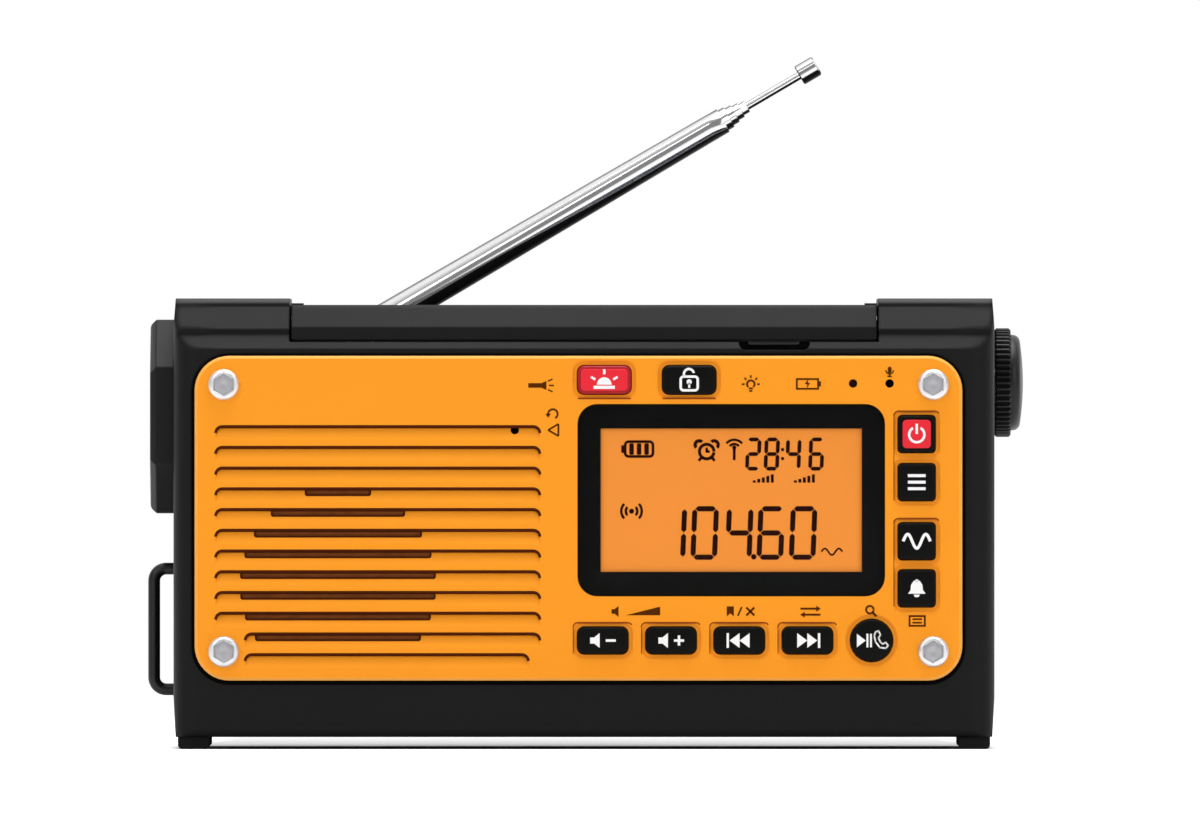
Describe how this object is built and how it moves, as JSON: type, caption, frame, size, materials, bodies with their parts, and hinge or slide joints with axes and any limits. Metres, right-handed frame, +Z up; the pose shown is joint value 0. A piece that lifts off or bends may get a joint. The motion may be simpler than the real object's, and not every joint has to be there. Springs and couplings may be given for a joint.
{
  "type": "emergency radio",
  "caption": "Portable emergency radio with an orange faceplate, amber display, flip-up solar lid, end torch, tuning knob, telescopic antenna and rear hand crank.",
  "frame": {"origin": "on the floor under the middle of the body, level with the bottom of the feet", "axes": "+X to the right as seen from the front, +Y to the back, +Z up"},
  "size_m": [0.1754, 0.0611, 0.1389],
  "materials": {
    "case_black": "fine moulded texture",
    "faceplate_orange": "satin",
    "key_black": "satin",
    "key_red": "satin",
    "lens_clear": "polished clear plastic",
    "mask_black": "gloss",
    "lcd_amber": "lit amber",
    "screw_silver": "bright nickel",
    "steel": "zinc plated",
    "board_green": "solder mask",
    "part_grey": "moulded",
    "mesh_cloth": "woven",
    "cone_paper": "paper",
    "reflector_chrome": "mirror",
    "led_pale": "clear",
    "loop_black": "gloss",
    "rubber_black": "soft matte",
    "solar_dark": "cells under clear cover",
    "diffuser_white": "frosted",
    "antenna_chrome": "mirror",
    "brass": "turned",
    "gear_white": "moulded",
    "battery_blue": "shrink sleeve",
    "ferrite_dark": "ground"
  },
  "bodies": {
    "case": {"front_case": "case_black", "rear_case": "case_black", "torch_bezel": "case_black", "faceplate": "faceplate_orange", "display_lens": "lens_clear", "torch_lens": "lens_clear", "display_mask": "mask_black", "lcd_module": "lcd_amber", "faceplate_screws": "screw_silver", "case_screws": "steel", "inner_screws": "steel", "lid_hinge_pins": "steel", "speaker_frame": "steel", "generator": "steel", "gearbox_plate": "steel", "main_board": "board_green", "port_board": "board_green", "board_parts": "part_grey", "key_switches": "part_grey", "tuning_encoder": "part_grey", "battery_holder": "part_grey", "speaker_mesh": "mesh_cloth", "speaker_cone": "cone_paper", "torch_reflector": "reflector_chrome", "torch_led": "led_pale", "strap_loop": "loop_black", "feet": "rubber_black", "antenna_bush": "brass", "battery": "battery_blue", "ferrite_rod": "ferrite_dark"},
    "sos_key": {"sos_button": "key_red"},
    "lock_key": {"lock_button": "key_black"},
    "power_key": {"power_button": "key_black"},
    "mode_key": {"mode_button": "key_black"},
    "band_key": {"band_button": "key_black"},
    "alert_key": {"alert_button": "key_black"},
    "volume_down_key": {"volume_down_button": "key_black"},
    "volume_up_key": {"volume_up_button": "key_black"},
    "previous_key": {"previous_button": "key_black"},
    "next_key": {"next_button": "key_black"},
    "play_key": {"play_button": "key_black"},
    "knob": {"tuning_knob": "case_black", "encoder_shaft": "steel"},
    "lid": {"lamp_lid": "case_black", "solar_cell": "solar_dark", "lamp_board": "led_pale", "lamp_diffuser": "diffuser_white"},
    "swivel": {"antenna_swivel": "antenna_chrome"},
    "antenna": {"antenna_base_tube": "antenna_chrome"},
    "stage_2": {"antenna_tube_2": "antenna_chrome"},
    "stage_3": {"antenna_tube_3": "antenna_chrome"},
    "stage_4": {"antenna_tube_4": "antenna_chrome"},
    "stage_5": {"antenna_tube_5": "antenna_chrome"},
    "stage_tip": {"antenna_tip": "antenna_chrome"},
    "crank": {"crank_arm": "case_black", "crank_gear": "gear_white"},
    "handle": {"crank_handle": "rubber_black"},
    "idler": {"idler_gear": "gear_white"},
    "rotor": {"generator_pinion": "brass"},
    "port_flap": {"port_cover": "rubber_black"}
  },
  "joints": [
    {"name": "sos_press", "type": "slide", "parent": "case", "child": "sos_key", "axis": [0, 1, 0], "range_m": [0, 0.0008], "stiffness_N_per_m": 600},
    {"name": "lock_press", "type": "slide", "parent": "case", "child": "lock_key", "axis": [0, 1, 0], "range_m": [0, 0.0008], "stiffness_N_per_m": 600},
    {"name": "power_press", "type": "slide", "parent": "case", "child": "power_key", "axis": [0, 1, 0], "range_m": [0, 0.0008], "stiffness_N_per_m": 600},
    {"name": "mode_press", "type": "slide", "parent": "case", "child": "mode_key", "axis": [0, 1, 0], "range_m": [0, 0.0008], "stiffness_N_per_m": 600},
    {"name": "band_press", "type": "slide", "parent": "case", "child": "band_key", "axis": [0, 1, 0], "range_m": [0, 0.0008], "stiffness_N_per_m": 600},
    {"name": "alert_press", "type": "slide", "parent": "case", "child": "alert_key", "axis": [0, 1, 0], "range_m": [0, 0.0008], "stiffness_N_per_m": 600},
    {"name": "volume_down_press", "type": "slide", "parent": "case", "child": "volume_down_key", "axis": [0, 1, 0], "range_m": [0, 0.0008], "stiffness_N_per_m": 600},
    {"name": "volume_up_press", "type": "slide", "parent": "case", "child": "volume_up_key", "axis": [0, 1, 0], "range_m": [0, 0.0008], "stiffness_N_per_m": 600},
    {"name": "previous_press", "type": "slide", "parent": "case", "child": "previous_key", "axis": [0, 1, 0], "range_m": [0, 0.0008], "stiffness_N_per_m": 600},
    {"name": "next_press", "type": "slide", "parent": "case", "child": "next_key", "axis": [0, 1, 0], "range_m": [0, 0.0008], "stiffness_N_per_m": 600},
    {"name": "play_press", "type": "slide", "parent": "case", "child": "play_key", "axis": [0, 1, 0], "range_m": [0, 0.0008], "stiffness_N_per_m": 600},
    {"name": "tuning_turn", "type": "hinge", "parent": "case", "child": "knob", "pos_m": [0.082, 0, 0.0732], "axis": [1, 0, 0], "continuous": true},
    {"name": "lid_flip", "type": "hinge", "parent": "case", "child": "lid", "pos_m": [0, 0.0145, 0.0852], "axis": [-1, 0, 0], "range_deg": [0, 80]},
    {"name": "antenna_raise", "type": "hinge", "parent": "case", "child": "swivel", "pos_m": [-0.045, 0.0244, 0.0832], "axis": [0, -1, 0], "range_deg": [-30.4, 75]},
    {"name": "antenna_tilt", "type": "hinge", "parent": "swivel", "child": "antenna", "pos_m": [-0.045, 0.0244, 0.0832], "axis": [-0.506, 0, 0.8625], "range_deg": [0, 90]},
    {"name": "draw_2", "type": "slide", "parent": "antenna", "child": "stage_2", "axis": [0.8625, 0, 0.506], "range_m": [0, 0.062]},
    {"name": "draw_3", "type": "slide", "parent": "stage_2", "child": "stage_3", "axis": [0.8625, 0, 0.506], "range_m": [0, 0.062]},
    {"name": "draw_4", "type": "slide", "parent": "stage_3", "child": "stage_4", "axis": [0.8625, 0, 0.506], "range_m": [0, 0.062]},
    {"name": "draw_5", "type": "slide", "parent": "stage_4", "child": "stage_5", "axis": [0.8625, 0, 0.506], "range_m": [0, 0.062]},
    {"name": "draw_tip", "type": "slide", "parent": "stage_5", "child": "stage_tip", "axis": [0.8625, 0, 0.506], "range_m": [-0.0119, 0.052]},
    {"name": "crank_turn", "type": "hinge", "parent": "case", "child": "crank", "pos_m": [0.022, 0.027, 0.043], "axis": [0, 1, 0], "continuous": true},
    {"name": "idler_turn", "type": "hinge", "parent": "case", "child": "idler", "pos_m": [-0.003, 0.015, 0.043], "axis": [0, 1, 0], "continuous": true},
    {"name": "rotor_turn", "type": "hinge", "parent": "case", "child": "rotor", "pos_m": [-0.0255, 0.012, 0.043], "axis": [0, 1, 0], "continuous": true},
    {"name": "handle_fold", "type": "hinge", "parent": "crank", "child": "handle", "pos_m": [-0.0042, 0.0274, 0.043], "axis": [0, 0, 1], "range_deg": [0, 90]},
    {"name": "port_open", "type": "hinge", "parent": "case", "child": "port_flap", "pos_m": [0.0811, 0.004, 0.0214], "axis": [0, 1, 0], "range_deg": [0, 95]}
  ],
  "couplings": [
    {"joint": "idler_turn", "follows": "crank_turn", "ratio": -2.3333},
    {"joint": "rotor_turn", "follows": "crank_turn", "ratio": 6.0667}
  ]
}
